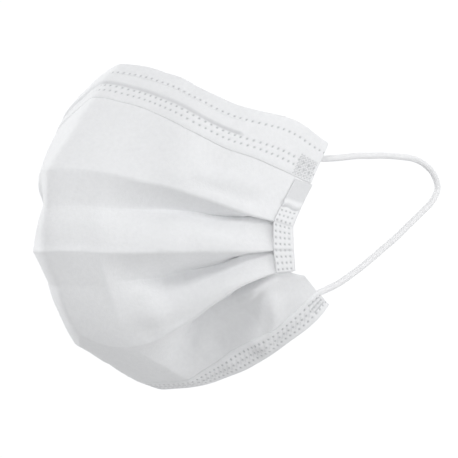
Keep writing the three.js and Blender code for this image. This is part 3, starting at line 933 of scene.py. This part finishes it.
def band_relief(distance, across, ledge, creases):
    """Rise and mark of a band's outer leaf: welded dots, painted shade in its creases and groove, and a
    greyer end above its ledge.
    """
    crease = sum(math.exp(-((distance - at) / CREASE_WIDTH) ** 2) for at in creases)
    beyond = distance - ledge - LEDGE_WAVE * math.sin(across)
    bulge = math.exp(-(beyond / (LEDGE_ABOVE if beyond < 0 else LEDGE_BELOW)) ** 2)
    # The groove below the ledge is dented and darkened with a painted shadow line
    groove = math.exp(-((beyond - LEDGE_GROOVE_AT) / LEDGE_GROOVE_WIDTH) ** 2)
    rise = (LEDGE_RISE + LEDGE_TILT * across) * bulge
    rise = rise - LEDGE_GROOVE_DEPTH * groove - CREASE_DEPTH * crease
    dots = 0.0
    if distance > ledge + DOTS_FROM_LEDGE:
        dots = max(dot_row(distance, across, at, BAND_DOT_PITCH) for at in BAND_DOT_COLUMNS)
    # The band's end above the ledge is painted greyer
    greyed_end = END_GREYING * smooth((ledge - GREYING_FROM_LEDGE - distance) / GREYING_RUN)
    # Creases are darkened with painted shade, and so is the groove below the ledge
    mark = max(dots, LEDGE_GROOVE_SHADE * groove, CREASE_SHADE * crease, greyed_end)
    return rise - dots * DOT_DEPTH, mark


def add_band(side, hand):
    """Welded band folded round the ends of the pleats."""
    grid, rows_at, places_at = band_grid()
    normal = normals_of(grid)
    marks = np.zeros(grid.shape[:2])
    ledge = places_at[LEDGE_PLACE] * LEDGE_SHARE - LEDGE_BACK
    creases = [places_at[place] for place in BAND_CREASES]
    for row, distance in enumerate(rows_at):
        for column, across in enumerate(BAND_ACROSS):
            rise, marks[row, column] = band_relief(distance, across, ledge, creases)
            grid[row, column] += normal[row, column] * rise
    grid[:, :, 0] *= side
    if side < 0:
        grid, marks = grid[::-1], marks[::-1]
    vertices, faces, weld = wall(crumpled(grid), WALL, marks)
    node = f"side_binding_{hand}"
    return new_piece(f"side_band_{hand}", vertices, faces, hem_cloth, node, weld)


def add_weld(side, hand, end, surface):
    """Flattened end of an ear loop on the inner leaf of a hem."""
    columns = []
    for column in range(WELD_COLUMNS + 1):
        part = column / WELD_COLUMNS
        share = 1 - (0.5 * CORD_DIAMETER + WELD_LENGTH * (1 - part)) / lines["top"].length
        spread = WELD_WIDTH * blend(WELD_NARROW, 1, math.sin(math.pi * clamp(part * WELD_TAPER)) ** 0.5)
        places = [WELD_FROM_EDGE + spread * (row / WELD_ROWS - 0.5) for row in range(WELD_ROWS + 1)]
        columns.append([tuple(surface(share, place)) for place in places])
    grid = np.array(columns)
    inside = normals_of(grid)
    if end == "bottom":
        inside = -inside
    marks = np.zeros(grid.shape[:2])
    for column in range(WELD_COLUMNS + 1):
        for row in range(WELD_ROWS + 1):
            mark = 0.0
            if within(column, WELD_DOTS_BETWEEN):
                along = column * WELD_STEP_ALONG
                across = abs(row - WELD_ROWS // 2) * WELD_STEP_ACROSS
                mark = max(dot_row(along, across, 0.0, WELD_DOT_PITCH),
                           dot_row(along, across, WELD_OUTER_ROWS, WELD_DOT_PITCH, 0.5))
            marks[column, row] = mark
            depth = LEAF + WALL / 2 + WELD_THICKNESS / 2 + WELD_GAP - WELD_DOT_DEPTH * mark
            grid[column, row] += inside[column, row] * depth
    grid[:, :, 0] *= side
    vertices, faces, weld = wall(crumpled(grid if side > 0 else grid[::-1]), WELD_THICKNESS, marks)
    name = f"cord_weld_{end}_{hand}"
    return new_piece(name, vertices, faces, elastic, f"loop_weld_{end}_{hand}", weld)


def spline_points(points, steps):
    """Centripetal curve through the points, at even lengths, and its length."""
    points = [np.array(point, dtype=float) for point in points]
    points = [2 * points[0] - points[1]] + points + [2 * points[-1] - points[-2]]
    dense = []
    for p0, p1, p2, p3 in zip(points, points[1:], points[2:], points[3:]):
        t0 = 0.0
        t1 = t0 + np.linalg.norm(p1 - p0) ** 0.5
        t2 = t1 + np.linalg.norm(p2 - p1) ** 0.5
        t3 = t2 + np.linalg.norm(p3 - p2) ** 0.5
        for t in np.linspace(t1, t2, CURVE_STEPS, endpoint=False):
            a1 = (t1 - t) / (t1 - t0) * p0 + (t - t0) / (t1 - t0) * p1
            a2 = (t2 - t) / (t2 - t1) * p1 + (t - t1) / (t2 - t1) * p2
            a3 = (t3 - t) / (t3 - t2) * p2 + (t - t2) / (t3 - t2) * p3
            b1 = (t2 - t) / (t2 - t0) * a1 + (t - t0) / (t2 - t0) * a2
            b2 = (t3 - t) / (t3 - t1) * a2 + (t - t1) / (t3 - t1) * a3
            dense.append((t2 - t) / (t2 - t1) * b1 + (t - t1) / (t2 - t1) * b2)
    dense.append(points[-2])
    dense = np.array(dense)
    run = np.concatenate(([0.0], np.cumsum(np.linalg.norm(np.diff(dense, axis=0), axis=1))))
    at = np.linspace(0, run[-1], steps + 1)
    return np.stack([np.interp(at, run, dense[:, axis]) for axis in range(3)], axis=1), run[-1]


def add_cord(side, hand):
    """Knitted round elastic along its route."""
    path, length = spline_points(CORD_ROUTE, CORD_STEPS)
    path[:, 0] *= side
    path = crumpled(path)
    tangents = np.gradient(path, axis=0)
    tangents /= np.linalg.norm(tangents, axis=1, keepdims=True)
    across = np.cross(tangents, (1.0, 0.0, 0.0))
    across /= np.linalg.norm(across, axis=1, keepdims=True)
    up = np.cross(tangents, across)
    vertices = []
    for step in range(CORD_STEPS + 1):
        distance = length * step / CORD_STEPS
        to_end = min(distance, length - distance)
        flat = 1 - CORD_END_FLATTENING * (1 - smooth(to_end / CORD_END_RUN))
        for corner in range(CORD_SIDES):
            angle = 2 * math.pi * corner / CORD_SIDES
            part = (corner * CORD_RIBS / CORD_SIDES) % 1.0
            rib = math.cos(2 * math.pi * part)
            loop = math.sin(2 * math.pi * (distance / CORD_LOOP_PITCH + abs(part - 0.5)))
            radius = CORD_DIAMETER / 2 * (CORD_CORE - CORD_RIB_RISE * rib + CORD_LOOP_RISE * loop)
            out = across[step] * math.cos(angle) * radius * flat + up[step] * math.sin(angle) * radius
            vertices.append(path[step] + out)
    faces = []
    for step in range(CORD_STEPS):
        for corner in range(CORD_SIDES):
            a = step * CORD_SIDES + corner
            b = step * CORD_SIDES + (corner + 1) % CORD_SIDES
            faces.append((a, b, b + CORD_SIDES, a + CORD_SIDES))
    for step, order in ((0, -1), (CORD_STEPS, 1)):
        ring = [step * CORD_SIDES + corner for corner in range(CORD_SIDES)][::order]
        centre = len(vertices)
        vertices.append(path[step])
        for a, b in zip(ring, ring[1:] + ring[:1]):
            faces.append((a, b, centre))
    unmarked = np.zeros(len(vertices))
    piece = new_piece(f"ear_cord_{hand}", vertices, faces, elastic, f"ear_loop_{hand}", unmarked)


# Camera and studio
def add_camera():
    data = bpy.data.cameras.new("camera")
    data.angle = 2 * math.atan(VIEW_WIDTH / 2 / VIEW_DISTANCE)
    data.clip_start = 0.01
    data.clip_end = 100
    camera = bpy.data.objects.new("camera", data)
    bpy.context.scene.collection.objects.link(camera)
    camera.location = Vector(CAMERA_PLACE)
    camera.rotation_euler = (Vector(CAMERA_AIM) - camera.location).to_track_quat("-Z", "Y").to_euler()
    bpy.context.scene.camera = camera


def add_light(name, place, aim, size, power):
    data = bpy.data.lights.new(name, "AREA")
    data.shape = "DISK"
    data.size = size
    data.energy = power
    light = bpy.data.objects.new(name, data)
    bpy.context.scene.collection.objects.link(light)
    light.location = place
    light.rotation_euler = (Vector(aim) - Vector(place)).to_track_quat("-Z", "Y").to_euler()


def add_surround():
    """Surround that is white about the horizon and greyer above and below it."""
    world = bpy.data.worlds.new("studio")
    bpy.context.scene.world = world
    world.use_nodes = True
    nodes, links = world.node_tree.nodes, world.node_tree.links
    way = new_node(nodes, "ShaderNodeTexCoord")
    split = new_node(nodes, "ShaderNodeSeparateXYZ")
    half = new_node(nodes, "ShaderNodeMath", {1: 0.5, 2: 0.5}, operation="MULTIPLY_ADD")
    fall = new_node(nodes, "ShaderNodeFloatCurve")
    curve = fall.mapping.curves[0]
    for place, strength in SURROUND:
        if place in (-1.0, 1.0):
            curve.points[0 if place < 0 else -1].location = ((place + 1) / 2, strength)
        else:
            curve.points.new((place + 1) / 2, strength)
    fall.mapping.update()
    links.new(way.outputs["Generated"], split.inputs["Vector"])
    links.new(split.outputs["Z"], half.inputs[0])
    links.new(half.outputs["Value"], fall.inputs["Value"])
    links.new(fall.outputs["Value"], nodes["Background"].inputs["Strength"])
    set_inputs(nodes["Background"], {"Color": SURROUND_COLOUR})


def add_floor():
    turns = [math.tau * k / FLOOR_SIDES for k in range(FLOOR_SIDES)]
    ring = [(FLOOR_REACH * math.cos(turn), FLOOR_REACH * math.sin(turn), FLOOR_HEIGHT) for turn in turns]
    faces = [(0, k + 1, (k + 1) % FLOOR_SIDES + 1) for k in range(FLOOR_SIDES)]
    mesh = bpy.data.meshes.new("floor")
    mesh.from_pydata([(0, 0, FLOOR_HEIGHT)] + ring, [], faces)
    floor = bpy.data.objects.new("floor", mesh)
    bpy.context.scene.collection.objects.link(floor)
    material, nodes, _ = new_material("pale floor")
    set_inputs(nodes["Principled BSDF"], {"Base Color": FLOOR_COLOUR, "Roughness": 0.9})
    mesh.materials.append(material)


add_camera()
add_surround()
for light in LIGHTS:
    add_light(*light)
add_floor()
bpy.context.scene.view_settings.view_transform = "Standard"

for hand, side in (("left", 1), ("right", -1)):
    top_weld = add_weld(side, hand, "top", top_panel)
    bottom_weld = add_weld(side, hand, "bottom", lowest_panel)
    add_cord(side, hand)
panel = add_panel()
strips = [add_top_hem(), add_bottom_hem(), add_band(1, "left"), add_band(-1, "right")]
add_nose_wire()
